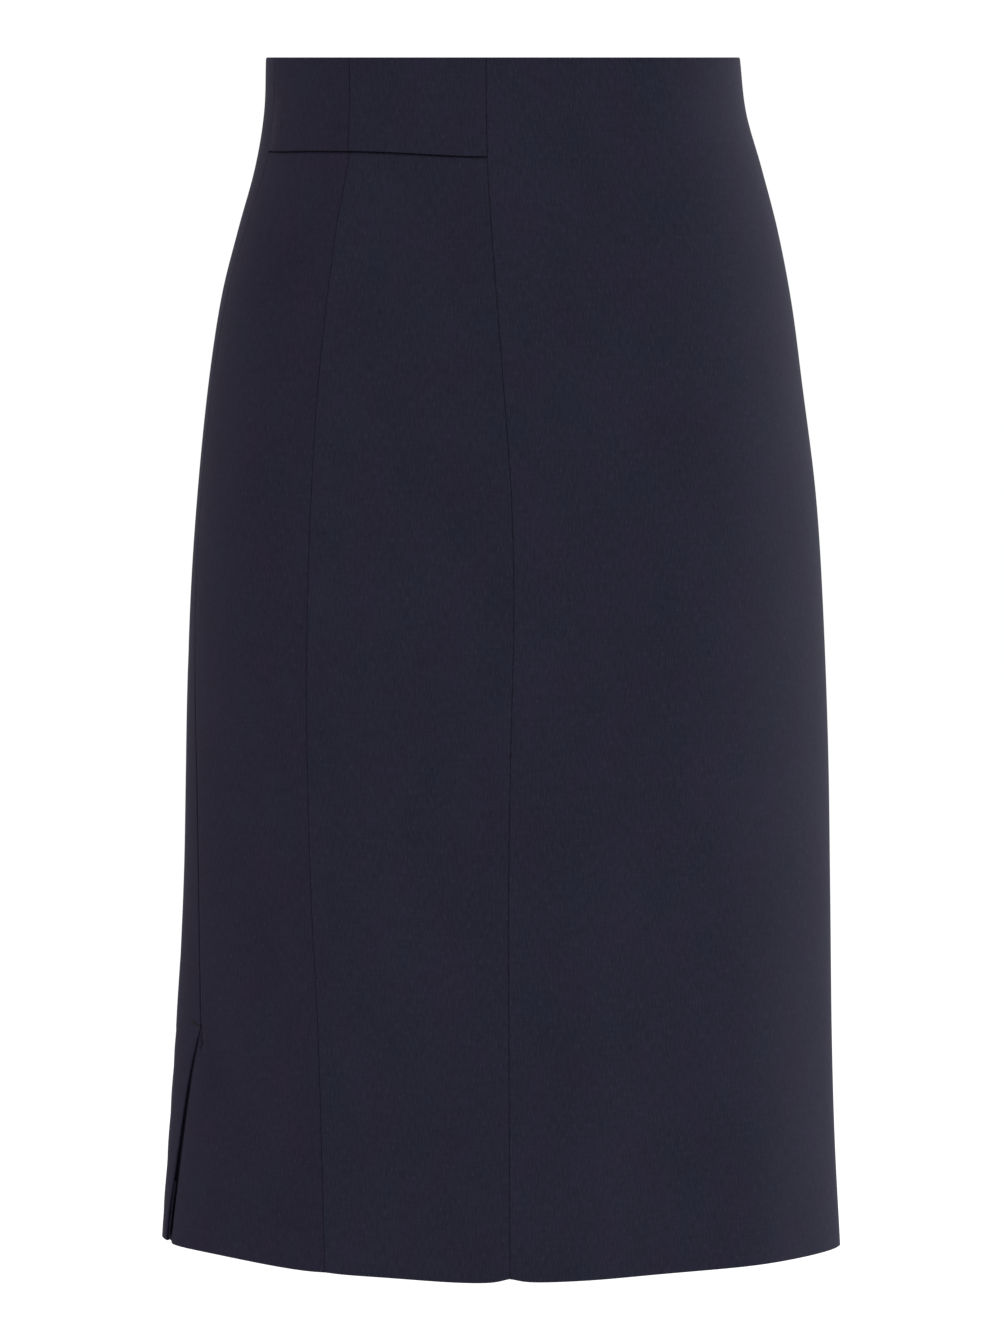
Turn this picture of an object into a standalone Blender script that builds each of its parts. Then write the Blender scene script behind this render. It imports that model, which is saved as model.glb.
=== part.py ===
"""A high-waisted pencil skirt of fine navy wool, standing open and hollow as if it were worn.

World frame: metres, +Z up. The front faces -Y and the wearer's left is +X. The origin is the
middle of the waist opening, level with its top edge, and the skirt hangs below it.

A place on the cloth is a turn and a drop. The turn is the compass angle about Z in degrees: 0 at
the wearer's left side, 90 at the back, 180 at the wearer's right side and 270 at the front. The
drop is the distance below the waist edge. Each panel is a wall between two grids of such places.
"""

import math
from collections import namedtuple

import bmesh
import bpy
from mathutils import Vector

# ---------------------------------------------------------------- driving dimensions
LENGTH = 0.662              # waist edge to hem
WALL = 0.0015               # the wool with its seam allowances pressed open
GAP = 0.0003                # clearance between neighbouring pieces
HEM_DEPTH = 0.034           # height of the hem's turn-up
HEM_EXTRA = 0.0010          # the turn-up's added thickness, on the inside

YOKE_DROP = 0.052           # lower edge of the yoke on the wearer's right
YOKE_LAP = 0.012            # how far the panels run up behind the yoke
YOKE_EASE = 0.024           # height over which the yoke lifts off the figure
YOKE_EARLY = 0.002          # it has fully lifted this far above the panels' top edges

VENT_TOP = 0.535            # where the side vent opens
VENT_EASE = 0.026           # height and width over which the underlap sinks
VENT_DEPTH = 0.0040         # how far the underlap lies inside the skirt's face at the vent's top
VENT_DEEPER = 0.0030        # and how much further inside at the hem
VENT_SWING = 0.0297         # the back panel's free edge has swung back this far at the hem
VENT_CURVE = 0.68           # below 1, most of the swing comes near the vent's top
UNDERLAP = 0.030            # the underlap's width beyond the free edge

BACK_TURN = 90.0            # the centre back seam
LEFT_SIDE_Y = 0.012         # the left side seam lies just behind the widest place

ZIP_LENGTH = 0.200
ZIP_TAPE_TOP = 0.003
ZIP_TAPE_WIDTH = 0.026
ZIP_TAPE_WALL = 0.0010
ZIP_TAPE_CLEAR = 0.0005     # from the panels' inner face
ZIP_TAPE_COLUMNS = 4
SLIDER_DROP = 0.011         # the pull's hinge axis, below the waist edge
SLIDER_WIDTH = 0.0062
SLIDER_HEIGHT = 0.0090
SLIDER_ABOVE = 0.0036       # how much of the slider is above the hinge axis
SLIDER_PLATE = 0.0010
RAIL_WIDTH = 0.0011
RAIL_RISE = 0.0003          # the rails stand this proud of the pull's barrel
BARREL_RADIUS = 0.0008
PULL_CORNER = 0.4           # the pull's cut corners, as a share of its half thickness
PULL_RISE = 0.004           # the cloth's slope is taken from this far above the hinge axis
PULL_FALL = 0.012           # to this far below it

ROW_STEP = 0.032            # tallest row of a panel's grid
LAP_COLUMNS = 5             # columns of the underlap
TINY = 1e-6
TURN_STEP = 0.25            # degrees to each side of a place, to see how the section runs there
COLUMN_STEP = 0.0105        # mean width of a panel's columns at the hips
HIP_DROP = 0.30
SIDE_CROWDING = 10.0        # degrees by which columns shift towards the sides, where cloth bends
SOLVER_STEPS = 30           # steps, each of a share of what is left, to find a column's turn
SOLVER_SHARE = 0.7

SHARP_ANGLE = 40.0          # degrees between two faces that meet in a hard edge

NAVY = (0.0165, 0.0155, 0.0275, 1.0)
NAVY_ENAMEL = (0.016, 0.016, 0.026, 1.0)

# Half widths to the wearer's left and right, depths to the front and back, and how square each
# half of the section is: 2 is an ellipse, and less draws the sides in towards an edge.
Section = namedtuple("Section", "drop left right front back front_power back_power")
SECTIONS = (
    Section(0.000, 0.1310, 0.1300, 0.0900, 0.0830, 2.05, 2.05),
    Section(0.030, 0.1345, 0.1311, 0.0950, 0.0870, 2.05, 2.05),
    Section(0.060, 0.1430, 0.1361, 0.0995, 0.0945, 2.00, 2.05),
    Section(0.095, 0.1522, 0.1457, 0.1045, 0.1050, 2.00, 2.05),
    Section(0.135, 0.1600, 0.1551, 0.1095, 0.1155, 1.95, 2.05),
    Section(0.180, 0.1661, 0.1622, 0.1140, 0.1230, 1.90, 2.05),
    Section(0.240, 0.1738, 0.1686, 0.1185, 0.1245, 1.85, 2.00),
    Section(0.300, 0.1780, 0.1729, 0.1205, 0.1195, 1.80, 1.90),
    Section(0.380, 0.1812, 0.1759, 0.1210, 0.1120, 1.70, 1.75),
    Section(0.460, 0.1826, 0.1779, 0.1205, 0.1075, 1.60, 1.65),
    Section(0.540, 0.1839, 0.1825, 0.1195, 0.1050, 1.55, 1.60),
    Section(0.600, 0.1860, 0.1865, 0.1185, 0.1045, 1.50, 1.55),
    Section(0.662, 0.1897, 0.1903, 0.1180, 0.1040, 1.48, 1.52),
)

# Where the shaped seams run: the front and princess seams by their X on the front, and the right
# side seam by its Y.
SeamRow = namedtuple("SeamRow", "drop front_x princess_x side_y")
SEAMS = (
    SeamRow(0.000, -0.0086, -0.0826, -0.0280),
    SeamRow(0.050, -0.0081, -0.0826, -0.0310),
    SeamRow(0.095, -0.0054, -0.0900, -0.0270),
    SeamRow(0.170, 0.0004, -0.0988, -0.0205),
    SeamRow(0.240, 0.0053, -0.1034, -0.0185),
    SeamRow(0.300, 0.0064, -0.1054, -0.0200),
    SeamRow(0.380, 0.0045, -0.1058, -0.0233),
    SeamRow(0.460, 0.0035, -0.1038, -0.0251),
    SeamRow(0.540, 0.0038, -0.0998, -0.0308),
    SeamRow(0.662, 0.0043, -0.0967, -0.0330),
)

# The pull from its top down, about the hinge axis: a round barrel, then a tab with a round end.
PullSection = namedtuple("PullSection", "height half_width half_thickness")
PULL_SECTIONS = (
    PullSection(0.0008, 0.0016, 0.0003),
    PullSection(0.0005, 0.0017, 0.0006),
    PullSection(0.0000, 0.0017, 0.0008),
    PullSection(-0.0006, 0.0017, 0.0005),
    PullSection(-0.0060, 0.0016, 0.0005),
    PullSection(-0.0130, 0.0026, 0.0005),
    PullSection(-0.0165, 0.0028, 0.0005),
    PullSection(-0.0185, 0.0023, 0.0005),
    PullSection(-0.0196, 0.0015, 0.0005),
    PullSection(-0.0200, 0.0007, 0.0004),
)


# ---------------------------------------------------------------- reading the tables
def read(table, column, drop):
    """A column's value at a drop, on a smooth curve through the table's rows."""
    rows = [(row.drop, getattr(row, column)) for row in table]
    drop = min(max(drop, rows[0][0]), rows[-1][0])
    last = len(rows) - 1
    here = max(i for i in range(last) if rows[i][0] <= drop)

    def slope(i):
        low, high = rows[max(i - 1, 0)], rows[min(i + 1, last)]
        return (high[1] - low[1]) / (high[0] - low[0])

    (start, a), (end, b) = rows[here], rows[here + 1]
    span = end - start
    t = (drop - start) / span
    leave, arrive = slope(here) * span, slope(here + 1) * span
    return ((2 * t**3 - 3 * t**2 + 1) * a + (t**3 - 2 * t**2 + t) * leave
            + (3 * t**2 - 2 * t**3) * b + (t**3 - t**2) * arrive)


def eased(t):
    """0 before 0, 1 after 1, and a smooth rise between."""
    t = min(max(t, 0.0), 1.0)
    return t * t * (3.0 - 2.0 * t)


# ---------------------------------------------------------------- the skirt's face
def quadrant(turn, drop):
    """Half width, depth and power of the quarter of the section that a turn lies in."""
    angle = math.radians(turn)
    width = read(SECTIONS, "left" if math.cos(angle) > 0 else "right", drop)
    half = "back" if math.sin(angle) > 0 else "front"
    return width, read(SECTIONS, half, drop), read(SECTIONS, half + "_power", drop)


def face_point(turn, drop):
    """The skirt's outer face at a turn and a drop."""
    width, depth, power = quadrant(turn, drop)
    across, along = math.cos(math.radians(turn)), math.sin(math.radians(turn))
    reach = (abs(across / width)**power + abs(along / depth)**power) ** (-1.0 / power)
    return Vector((reach * across, reach * along, -drop))


def along_section(turn, drop):
    """How the face moves with the turn, level, in metres a degree."""
    ahead, behind = face_point(turn + TURN_STEP, drop), face_point(turn - TURN_STEP, drop)
    return (ahead - behind) / (2.0 * TURN_STEP)


def cloth_point(turn, drop, out=0.0):
    """The face moved level outwards, or inwards where out is negative."""
    run = along_section(turn, drop).normalized()
    return face_point(turn, drop) + out * Vector((run.y, -run.x, 0.0))


def moved_turn(turn, drop, distance):
    """The turn that lies a distance further along the section."""
    return turn + distance / along_section(turn, drop).length


def turn_at_x(x, drop):
    """The turn of the front's point at an X."""
    width = read(SECTIONS, "left" if x > 0 else "right", drop)
    power = read(SECTIONS, "front_power", drop)
    y = -read(SECTIONS, "front", drop) * (1.0 - (abs(x) / width)**power) ** (1.0 / power)
    return math.degrees(math.atan2(y, x)) % 360.0


def turn_at_y(y, drop, side):
    """The turn of a side's point at a Y: side is 'left' or 'right'."""
    half = "back" if y > 0 else "front"
    power = read(SECTIONS, half + "_power", drop)
    x = read(SECTIONS, side, drop)
    x *= (1.0 - (abs(y) / read(SECTIONS, half, drop))**power) ** (1.0 / power)
    return math.degrees(math.atan2(y, -x if side == "right" else x)) % 360.0


# ---------------------------------------------------------------- the seams, as turns
def front_seam(drop):
    return turn_at_x(read(SEAMS, "front_x", drop), drop)


def princess_seam(drop):
    return turn_at_x(read(SEAMS, "princess_x", drop), drop)


def right_side_seam(drop):
    return turn_at_y(read(SEAMS, "side_y", drop), drop, "right")


def left_side_seam(drop):
    return turn_at_y(LEFT_SIDE_Y, drop, "left")


def back_seam(drop):
    return BACK_TURN


def vent_edge(drop):
    """The back panel's free edge: it swings back from the right side seam below the vent's top."""
    opened = max(drop - VENT_TOP, 0.0) / (LENGTH - VENT_TOP)
    return moved_turn(right_side_seam(drop), drop, -VENT_SWING * opened**VENT_CURVE)


# ---------------------------------------------------------------- panels
def rows_between(*stops):
    """Drops from the first stop to the last, through every stop, no further apart than a row."""
    rows = [stops[0]]
    for start, end in zip(stops, stops[1:]):
        count = math.ceil((end - start) / ROW_STEP - TINY)
        rows += [start + (end - start) * i / count for i in range(1, count + 1)]
    return rows


def column_count(start, end):
    """How many columns a panel takes between two seams, counted at the hips."""
    width = (end(HIP_DROP) - start(HIP_DROP)) % 360.0
    middle = start(HIP_DROP) + width / 2.0
    return round(width * along_section(middle, HIP_DROP).length / COLUMN_STEP)


def wall_at(drop):
    """The cloth's thickness: the turn-up adds to it near the hem."""
    return WALL + HEM_EXTRA * (drop > LENGTH - HEM_DEPTH - TINY)


def flush(turn, drop):
    """A panel that lies in the skirt's face."""
    return 0.0


def yoke_lift(turn, drop):
    """The yoke rises over the panels' top edges and stays proud of them down to its own edge."""
    start = YOKE_DROP - YOKE_LAP - YOKE_EASE
    return (WALL + GAP) * eased((drop - start) / (YOKE_EASE - YOKE_EARLY))


def underlap_sink(turn, drop):
    """The side front panel sinks behind the back panel's free edge, all down the vent."""
    reach = along_section(turn, drop).length * (vent_edge(drop) - turn)
    across = eased(1.0 + reach / VENT_EASE)
    down = eased((drop - VENT_TOP + VENT_EASE) / VENT_EASE)
    deeper = VENT_DEEPER * max(drop - VENT_TOP, 0.0) / (LENGTH - VENT_TOP)
    return -(VENT_DEPTH + deeper) * across * down


def crowded(turn):
    """A scale of turns on which the columns are evenly spaced."""
    return turn + SIDE_CROWDING * math.sin(math.radians(2.0 * turn))


def spread_turns(first, last, columns):
    """The turns of a panel's columns, from one edge to the other."""
    turns = []
    for j in range(columns + 1):
        mark = crowded(first) + (crowded(last) - crowded(first)) * j / columns
        turn = mark
        for _ in range(SOLVER_STEPS):
            turn += (mark - crowded(turn)) * SOLVER_SHARE
        turns.append(turn)
    return turns


def walls_at(drop, places, thickness):
    """One row of a wall: its outer and inner points, at pairs of a turn and a lift."""
    outer = [cloth_point(turn, drop, out) for turn, out in places]
    inner = [cloth_point(turn, drop, out - thickness) for turn, out in places]
    return outer, inner


def wall_mesh(name, outer, inner, cells):
    """A closed wall between two grids of points, over the given cells of the grid."""
    mesh_builder = bmesh.new()
    verts = {}

    def vert(skin, place):
        if (skin, place) not in verts:
            grid = outer if skin == "outer" else inner
            verts[skin, place] = mesh_builder.verts.new(grid[place[0]][place[1]])
        return verts[skin, place]

    rim = set()
    for i, j in cells:
        corners = ((i, j), (i + 1, j), (i + 1, j + 1), (i, j + 1))
        for triangle in ((0, 1, 2), (0, 2, 3)):
            places = [corners[k] for k in triangle]
            mesh_builder.faces.new([vert("outer", p) for p in places])
            mesh_builder.faces.new([vert("inner", p) for p in reversed(places)])
        for edge in zip(corners, corners[1:] + corners[:1]):
            if edge[::-1] in rim:
                rim.remove(edge[::-1])
            else:
                rim.add(edge)
    for a, b in sorted(rim):
        mesh_builder.faces.new((vert("outer", b), vert("outer", a), vert("inner", a)))
        mesh_builder.faces.new((vert("outer", b), vert("inner", a), vert("inner", b)))
    mesh = bpy.data.meshes.new(name)
    mesh_builder.to_mesh(mesh)
    mesh_builder.free()
    return mesh


def all_cells(rows, columns):
    return [(i, j) for i in range(len(rows) - 1) for j in range(columns)]


def panel(name, start, end, rows, lift=flush):
    """A panel of cloth between two seams, each a function from the drop to a turn."""
    columns = column_count(start, end)
    grid = []
    for drop in rows:
        first = moved_turn(start(drop), drop, GAP / 2.0)
        last = moved_turn(start(drop) + (end(drop) - start(drop)) % 360.0, drop, -GAP / 2.0)
        places = [(turn, lift(turn, drop)) for turn in spread_turns(first, last, columns)]
        grid.append(walls_at(drop, places, wall_at(drop)))
    outer, inner = zip(*grid)
    return place(name, wall_mesh(name, outer, inner, all_cells(rows, columns)), CLOTH)


# ---------------------------------------------------------------- scene helpers
def clear_scene():
    for old in list(bpy.data.objects):
        bpy.data.objects.remove(old, do_unlink=True)


def material(name, colour, roughness, metallic=0.0):
    made = bpy.data.materials.new(name)
    made.use_nodes = True
    shader = made.node_tree.nodes["Principled BSDF"]
    shader.inputs["Base Color"].default_value = colour
    shader.inputs["Roughness"].default_value = roughness
    shader.inputs["Metallic"].default_value = metallic
    return made


def place(name, mesh, finish):
    """An object of its own for a mesh, shaded smooth except across hard edges."""
    made = bpy.data.objects.new(name, mesh)
    bpy.context.collection.objects.link(made)
    mesh.materials.append(finish)
    mesh.shade_smooth()
    mesh.set_sharp_from_angle(angle=math.radians(SHARP_ANGLE))
    return made


# ---------------------------------------------------------------- the front
def front_left_panel():
    """One wide piece, from the front seam round to the left side seam."""
    panel("front_left_panel", front_seam, left_side_seam, FULL_ROWS)


def front_middle_panel():
    """From the princess seam to the front seam, with its top edge behind the yoke."""
    panel("front_middle_panel", princess_seam, front_seam, LOWER_ROWS)


def yoke():
    """The yoke over the two right-hand panels, in two pieces that meet above the princess seam."""
    panel("yoke_side", right_side_seam, princess_seam, YOKE_ROWS, yoke_lift)
    panel("yoke_front", princess_seam, front_seam, YOKE_ROWS, yoke_lift)


def front_side_panel():
    """From the right side seam to the princess seam, with the vent's underlap grown on below.

    The grid starts at the underlap's far edge. Above the vent its first columns are left out, so
    that the panel's edge there is the side seam.
    """
    name = "front_side_panel"
    columns = column_count(right_side_seam, princess_seam)
    grid = []
    for drop in LOWER_ROWS:
        seam = moved_turn(right_side_seam(drop), drop, GAP / 2.0)
        far = moved_turn(vent_edge(drop), drop, -UNDERLAP)
        end = moved_turn(princess_seam(drop), drop, -GAP / 2.0)
        turns = spread_turns(far, seam, LAP_COLUMNS)[:-1] + spread_turns(seam, end, columns)
        places = [(turn, underlap_sink(turn, drop)) for turn in turns]
        grid.append(walls_at(drop, places, wall_at(drop)))
    outer, inner = zip(*grid)
    cells = [
        (i, j) for i, j in all_cells(LOWER_ROWS, LAP_COLUMNS + columns)
        if j >= LAP_COLUMNS or LOWER_ROWS[i] > VENT_TOP - TINY
    ]
    place(name, wall_mesh(name, outer, inner, cells), CLOTH)


# ---------------------------------------------------------------- the back
def back_panels():
    """Two pieces that meet at the centre back, the right one free of the front down the vent."""
    panel("back_left_panel", left_side_seam, back_seam, FULL_ROWS)
    panel("back_right_panel", back_seam, vent_edge, FULL_ROWS)


# ---------------------------------------------------------------- the zip
def zip_tape():
    """The concealed zip's tapes, one strip on the inside, behind the centre back seam."""
    rows = rows_between(ZIP_TAPE_TOP, ZIP_LENGTH)
    grid = []
    for drop in rows:
        first = moved_turn(back_seam(drop), drop, -ZIP_TAPE_WIDTH / 2.0)
        last = moved_turn(back_seam(drop), drop, ZIP_TAPE_WIDTH / 2.0)
        places = [(turn, -WALL - ZIP_TAPE_CLEAR) for turn in spread_turns(first, last, ZIP_TAPE_COLUMNS)]
        grid.append(walls_at(drop, places, ZIP_TAPE_WALL))
    outer, inner = zip(*grid)
    cells = all_cells(rows, ZIP_TAPE_COLUMNS)
    place("zip_tape", wall_mesh("zip_tape", outer, inner, cells), TAPE)


def at_hinge(name, mesh):
    """Puts a mesh drawn about the hinge axis in its place, tilted to lie along the cloth."""
    above = face_point(BACK_TURN, SLIDER_DROP - PULL_RISE)
    below = face_point(BACK_TURN, SLIDER_DROP + PULL_FALL)
    tilt = math.atan2(below.y - above.y, above.z - below.z)
    stand_off = GAP + SLIDER_PLATE + GAP + BARREL_RADIUS
    piece = place(name, mesh, ENAMEL)
    piece.location = face_point(BACK_TURN, SLIDER_DROP)
    piece.location += stand_off * Vector((0.0, math.cos(tilt), math.sin(tilt)))
    piece.rotation_euler = (tilt, 0.0, 0.0)
    return piece


def lofted_mesh(name, rings):
    """A closed body through rings of points that run counterclockwise, from the top down."""
    builder = bmesh.new()
    loops = [[builder.verts.new(point) for point in ring] for ring in rings]
    for upper, lower in zip(loops, loops[1:]):
        for k, vert in enumerate(upper):
            after = (k + 1) % len(upper)
            builder.faces.new((vert, lower[k], lower[after], upper[after]))
    builder.faces.new(loops[0])
    builder.faces.new(loops[-1][::-1])
    mesh = bpy.data.meshes.new(name)
    builder.to_mesh(mesh)
    builder.free()
    return mesh


def zip_slider():
    """The slider's bridge: a plate on the cloth between two rails, which hold the pull's barrel."""
    half = SLIDER_WIDTH / 2.0
    inside = half - RAIL_WIDTH
    back = -(BARREL_RADIUS + GAP + SLIDER_PLATE)
    face = back + SLIDER_PLATE
    front = BARREL_RADIUS + RAIL_RISE
    outline = (
        (half, back), (half, front), (inside, front), (inside, face),
        (-inside, face), (-inside, front), (-half, front), (-half, back),
    )
    heights = (SLIDER_ABOVE, SLIDER_ABOVE - SLIDER_HEIGHT)
    rings = [[(x, y, z) for x, y in outline] for z in heights]
    at_hinge("zip_slider", lofted_mesh("zip_slider", rings))


def zip_pull():
    """The pull: a barrel between the rails, and a flat tab that hangs from it."""
    rings = []
    for row in PULL_SECTIONS:
        x, y = row.half_width, row.half_thickness
        cut = PULL_CORNER * y
        rings.append([
            (x, y - cut, row.height), (x - cut, y, row.height),
            (cut - x, y, row.height), (-x, y - cut, row.height),
            (-x, cut - y, row.height), (cut - x, -y, row.height),
            (x - cut, -y, row.height), (x, cut - y, row.height),
        ])
    at_hinge("zip_pull", lofted_mesh("zip_pull", rings))


# ---------------------------------------------------------------- build
clear_scene()
CLOTH = material("navy_wool", NAVY, 0.85)
TAPE = material("zip_tape_weave", NAVY, 0.75)
ENAMEL = material("navy_enamel", NAVY_ENAMEL, 0.35, 0.4)

TURN_UP_TOP = LENGTH - HEM_DEPTH
FULL_ROWS = rows_between(0.0, YOKE_DROP, VENT_TOP, TURN_UP_TOP, LENGTH)
LOWER_ROWS = rows_between(YOKE_DROP - YOKE_LAP, YOKE_DROP, VENT_TOP, TURN_UP_TOP, LENGTH)
YOKE_ROWS = rows_between(0.0, YOKE_DROP - YOKE_LAP - YOKE_EASE, YOKE_DROP - YOKE_LAP, YOKE_DROP)

front_left_panel()
front_middle_panel()
front_side_panel()
yoke()
back_panels()
zip_tape()
zip_slider()
zip_pull()
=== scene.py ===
"""The looks of a high-waisted pencil skirt in fine navy wool.

Each panel is a thin cloth shell on its CAD wall's form, with its seam allowances, hem and waist
turned in as they are sewn, and with soft creases placed one by one. A place on the cloth is a turn,
in degrees about Z (0 at the wearer's left, 90 at the back, 180 at the right, 270 at the front), and
a drop, in metres below the waist edge.
"""
import math
from collections import namedtuple

import bpy
import numpy as np
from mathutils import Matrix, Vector


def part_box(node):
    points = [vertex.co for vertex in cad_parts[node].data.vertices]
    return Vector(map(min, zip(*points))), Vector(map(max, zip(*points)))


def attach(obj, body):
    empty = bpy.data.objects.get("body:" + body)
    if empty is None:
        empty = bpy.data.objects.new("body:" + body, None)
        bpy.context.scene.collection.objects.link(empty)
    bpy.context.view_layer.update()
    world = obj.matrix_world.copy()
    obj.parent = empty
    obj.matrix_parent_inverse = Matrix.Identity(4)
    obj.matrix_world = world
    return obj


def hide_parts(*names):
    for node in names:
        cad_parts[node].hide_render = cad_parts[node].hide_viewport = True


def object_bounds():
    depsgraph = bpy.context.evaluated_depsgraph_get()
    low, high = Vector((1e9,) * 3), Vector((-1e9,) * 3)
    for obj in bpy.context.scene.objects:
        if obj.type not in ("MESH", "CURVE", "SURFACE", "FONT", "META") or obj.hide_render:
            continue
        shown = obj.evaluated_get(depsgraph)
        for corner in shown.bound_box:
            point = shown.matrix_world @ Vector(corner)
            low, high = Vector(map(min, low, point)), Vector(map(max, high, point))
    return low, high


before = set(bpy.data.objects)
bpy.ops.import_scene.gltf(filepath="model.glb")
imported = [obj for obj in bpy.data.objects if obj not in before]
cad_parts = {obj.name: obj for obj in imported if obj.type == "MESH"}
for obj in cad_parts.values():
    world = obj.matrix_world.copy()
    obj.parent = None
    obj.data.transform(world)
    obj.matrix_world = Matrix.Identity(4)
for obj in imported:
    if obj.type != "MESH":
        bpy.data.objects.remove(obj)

CAD_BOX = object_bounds()

# ---------------------------------------------------------------- sizes, in metres and degrees
LENGTH = -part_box("front_left_panel")[0].z    # waist edge to hem
CLOTH = 0.0005              # the wool's thickness
SEAM_NIP = 0.00001          # how far two pieces are pressed into each other at a seam
SEAM_RADIUS = 0.0005        # the cloth's middle turns in on this radius, at a seam and a yoke's edge
SIDE_SEAM_RADIUS = 0.0003   # the same at the side seam and the vent's edge
EDGE_RADIUS = 0.0008        # and at the waist and the hem
SEAM_ALLOWANCE = 0.012
WAIST_TURN_IN = 0.014
HEM_TURN_UP = 0.034
YOKE_TURN_UP = 0.010
FACE_STEP = 0.0034          # spacing of a shell's columns and rows on its face
FEWEST_STEPS = 3
SIZING_LEVEL = 0.45         # a shell's columns are counted at this share of the length
TURN_STEP = 0.25            # either side of a place, where the section's run is measured
BACK_TURN = 90.0
WEAVE_PITCH = 0.0010        # two threads of the plain weave

HEM_HANG = 0.0006           # the hem's lowest places, below the CAD hem
VENT_SIDE_RISE = 0.0031     # the hem is drawn up by this on the vent's side of the skirt
VENT_SIDE_X = -0.089        # and it starts to rise there
VENT_SIDE_RUN = 0.085
CORNER_RISE = 0.0016        # the back's hem is drawn up further at the vent's free corner
CORNER_TURN = 180.0
CORNER_SPREAD = 8.0

YOKE_DEPTH = 0.0503         # waist edge to the yoke's lower edge, at its highest
YOKE_SLOPE = 0.0026         # how much lower that edge ends at the front seam
YOKE_SLOPE_X = -0.080       # where the slope starts, and the width that it takes
YOKE_SLOPE_RUN = 0.075
YOKE_DIP = 0.0007           # and how much lower it ends at the side
YOKE_DIP_X = -0.098
YOKE_DIP_RUN = 0.030
YOKE_LEVEL = 0.052          # the drop at which those X are measured
YOKE_LAP = 0.012            # how far the panels run up behind the yoke
YOKE_EASE = 0.024
YOKE_LIFT = 0.0010          # the yoke's lower edge stands off the skirt's face
YOKE_END_LIFT = 0.0003      # less so where its ends are caught in the seams
YOKE_END = 0.006
YOKE_RECESS = 0.0015        # and the panels behind it lie inside the face
RECESS_START = 0.0002       # they come out again from this far below the yoke's edge
RECESS_EASE = 0.0013

VENT_TOP = 0.535
VENT_SWING = 0.0297         # the back panel's free edge has swung back this far at the hem
VENT_CURVE = 0.68           # below 1, most of the swing comes near the vent's top
SIDE_LAP = 0.014            # the front's allowance behind the back panel, above the vent
UNDERLAP = 0.030
UNDERLAP_EASE = 0.004       # the lap widens to the underlap over this drop
LAP_DEPTH = 0.0014          # how far the lap lies inside the face, at the vent's top and above
LAP_DEEPER = 0.0026         # and how much further inside at the hem
LAP_STEP = 0.00008          # how softly the side front steps in behind the back panel
LAP_STEP_BELOW = 0.00042    # softer by this from the hips down
LAP_STEP_VENT = 0.0030      # and by this down the vent
HIPS = 0.26
HIPS_EASE = 0.12
VENT_SOFT_SHARE = 0.18      # the share of the vent by which it is softest
EDGE_ROLL = 0.012           # how much of the back panel beside the vent rolls outwards
EDGE_WAVE = 0.0004
CORNER_WAVE = 0.0008        # how far the vent's free corner stands out
CORNER_WAVE_AT = 0.86       # as a share of the vent
CORNER_WAVE_SPREAD = 0.16

TACK_ENDS = ((-0.0001, 0.5345), (-0.0088, 0.5322))    # each: distance along from the seam, drop
TACK_STITCHES = 13
TACK_POINTS = 9             # along each stitch
TACK_MARGIN = 0.03          # the share left bare at each end
TACK_HALF = 0.00075         # half a stitch's length
TACK_RISE = 0.00030
TACK_SINK = 0.0001
TACK_SLANT = 0.00014
TACK_THREAD = 0.00019
TACK_CREASE = 0.0028        # the seam's line runs on below the tack as a crease this deep
TACK_CREASE_HALF = 0.0008
TACK_CREASE_BELOW = 0.006   # its middle, below the vent's top
TACK_CREASE_REACH = 0.0055
LEFT_SIDE_Y = 0.012

DART_LENGTH = 0.130
DART_X = 0.060              # a back dart's distance from the centre back at the waist
DART_SLANT = 0.05
DART_FADE = 0.020           # the sewn groove fades out over this, up to the point
DART_GROOVE = 0.0007
DART_GROOVE_HALF = 0.00045
DART_FULLNESS = 0.0008      # the cloth stands out just below the dart's point
FULLNESS_BELOW = 0.004
FULLNESS_DROP = 0.014
FULLNESS_HALF = 0.012
DART_COLUMNS = (-0.0040, -0.0018, -0.0009, -0.0005, -0.00022, 0.0,
                0.00022, 0.0005, 0.0009, 0.0018, 0.0040)
LAP_COLUMNS = (-0.0040, -0.0018, -0.0009, -0.0004, 0.0, 0.0002, 0.0004, 0.0007, 0.0011, 0.0016,
               0.0022, 0.0028, 0.0034, 0.0041, 0.0048, 0.0056, 0.0066)

ZIP_TOP = 0.003
ZIP_END = 0.200
TAPE_WIDTH = 0.0124         # each of the two tapes
TAPE_GAP = 0.0004           # from the centre back to each tape's edge
TAPE_WALL = 0.0004
TAPE_LIFT = -0.0021         # its middle, inside the skirt's face
TAPE_ROWS = 60
TAPE_COLUMNS = 7
COIL_LIFT = -0.0031
COIL_PITCH = 0.0014
COIL_MARGIN = 0.002         # the coils stop this short of each end of the tapes
COIL_REACH = 0.0009         # half the coil's width, and half its depth is COIL_RISE
COIL_RISE = 0.0007
COIL_ASIDE = 0.55           # each coil's middle is this share of its reach from the centre back
COIL_LEAD = 0.25            # and this share of a turn ahead of or behind the other's
COIL_WIRE = 0.0002
COIL_STEPS = 12             # points to a turn of the coil
COIL_SIDES = 5

SLIDER_DROP = 0.011         # the pull's hinge axis, below the waist edge
SLIDER_ABOVE = 0.004        # the slider lies along the face between these places above and below it
SLIDER_BELOW = 0.012
SLIDER_HALF = 0.0031        # half its width
SLIDER_PLATE = 0.0010
RAIL_WIDTH = 0.0011
RAIL_RISE = 0.0003
BARREL_RADIUS = 0.0008
GAP = 0.0003
METAL_EDGE = 0.00018
PULL_SIDES = 24
PULL_SQUARE_X = 0.45        # powers below 1 that square the pull's section
PULL_SQUARE_Y = 0.7

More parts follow.
